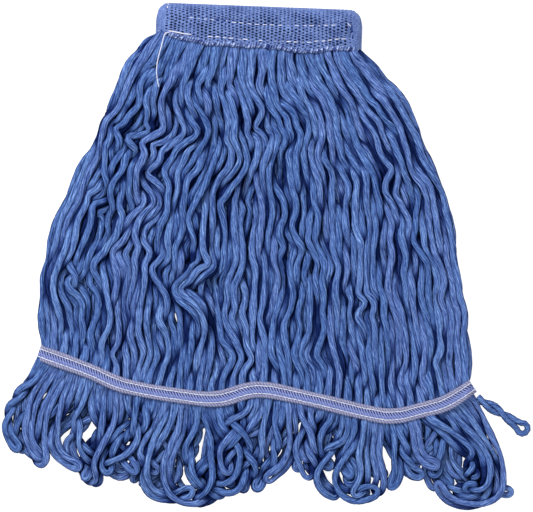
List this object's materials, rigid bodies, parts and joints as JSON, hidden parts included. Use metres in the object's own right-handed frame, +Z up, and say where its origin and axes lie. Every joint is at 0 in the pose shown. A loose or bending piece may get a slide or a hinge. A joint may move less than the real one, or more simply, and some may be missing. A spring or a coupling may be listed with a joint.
{
  "type": "string mop head",
  "caption": "Looped-end string mop head: twisted yarn folded over a knitted mesh headband, with a woven tape sewn across each half above the loops.",
  "frame": {"origin": "middle of the footprint's bounding box, on the floor that the folded mop head lies on", "axes": "+X along the headband, +Y from the looped ends to the fold, +Z up from the floor"},
  "size_m": [0.436, 0.4166, 0.03],
  "materials": {
    "yarn": "soft twisted yarn",
    "mesh": "knitted mesh",
    "hem": "overlocked edge",
    "tape": "ribbed woven tape",
    "thread": "sewing thread"
  },
  "bodies": {
    "back_half": {"back_yarn_01": "yarn", "back_yarn_02": "yarn", "back_yarn_03": "yarn", "back_yarn_04": "yarn", "back_yarn_05": "yarn", "back_yarn_06": "yarn", "back_yarn_07": "yarn", "back_yarn_08": "yarn", "back_loops_01": "yarn", "back_loops_02": "yarn", "back_loops_03": "yarn", "back_loops_04": "yarn", "back_loops_05": "yarn", "back_loops_06": "yarn", "back_loops_07": "yarn", "back_loops_08": "yarn", "stray_loop": "yarn", "headband_mesh_back": "mesh", "headband_stitching_back": "thread", "headband_hem_back": "hem", "headband_yarn_back": "yarn", "tail_tape_back_outer": "tape", "tail_tape_back_inner": "tape", "tape_stitching_back_outer": "thread", "tape_stitching_back_inner": "thread"},
    "fold": {"headband_mesh_fold": "mesh", "headband_stitching_fold": "thread", "headband_yarn_fold": "yarn"},
    "front_band": {"headband_mesh_front": "mesh", "headband_stitching_front": "thread", "headband_hem_front": "hem", "headband_yarn_front": "yarn"},
    "front_panel": {"front_yarn_01": "yarn", "front_yarn_02": "yarn", "front_yarn_03": "yarn", "front_yarn_04": "yarn", "front_yarn_05": "yarn", "front_yarn_06": "yarn", "front_yarn_07": "yarn", "front_yarn_08": "yarn", "tail_tape_front_outer": "tape", "tail_tape_front_inner": "tape", "tape_stitching_front_outer": "thread", "tape_stitching_front_inner": "thread", "loose_thread": "thread"},
    "front_loops": {"front_loops_01": "yarn", "front_loops_02": "yarn", "front_loops_03": "yarn", "front_loops_04": "yarn", "front_loops_05": "yarn", "front_loops_06": "yarn", "front_loops_07": "yarn", "front_loops_08": "yarn"}
  },
  "joints": [
    {"name": "spine_fold", "type": "hinge", "parent": "back_half", "child": "fold", "pos_m": [-0.0196, 0.20825, 0], "axis": [-1, 0, 0], "range_deg": [0, 90]},
    {"name": "band_fold", "type": "hinge", "parent": "fold", "child": "front_band", "pos_m": [-0.0196, 0.20825, 0.03], "axis": [-1, 0, 0], "range_deg": [0, 90]},
    {"name": "panel_lift", "type": "hinge", "parent": "front_band", "child": "front_panel", "pos_m": [-0.0196, 0.1688, 0.03], "axis": [1, 0, 0], "range_deg": [-60, 0]},
    {"name": "loops_curl", "type": "hinge", "parent": "front_panel", "child": "front_loops", "pos_m": [0, -0.133, 0.0166], "axis": [1, 0, 0], "range_deg": [-60, 0]}
  ],
  "couplings": [
    {"joint": "band_fold", "follows": "spine_fold", "ratio": 1}
  ]
}
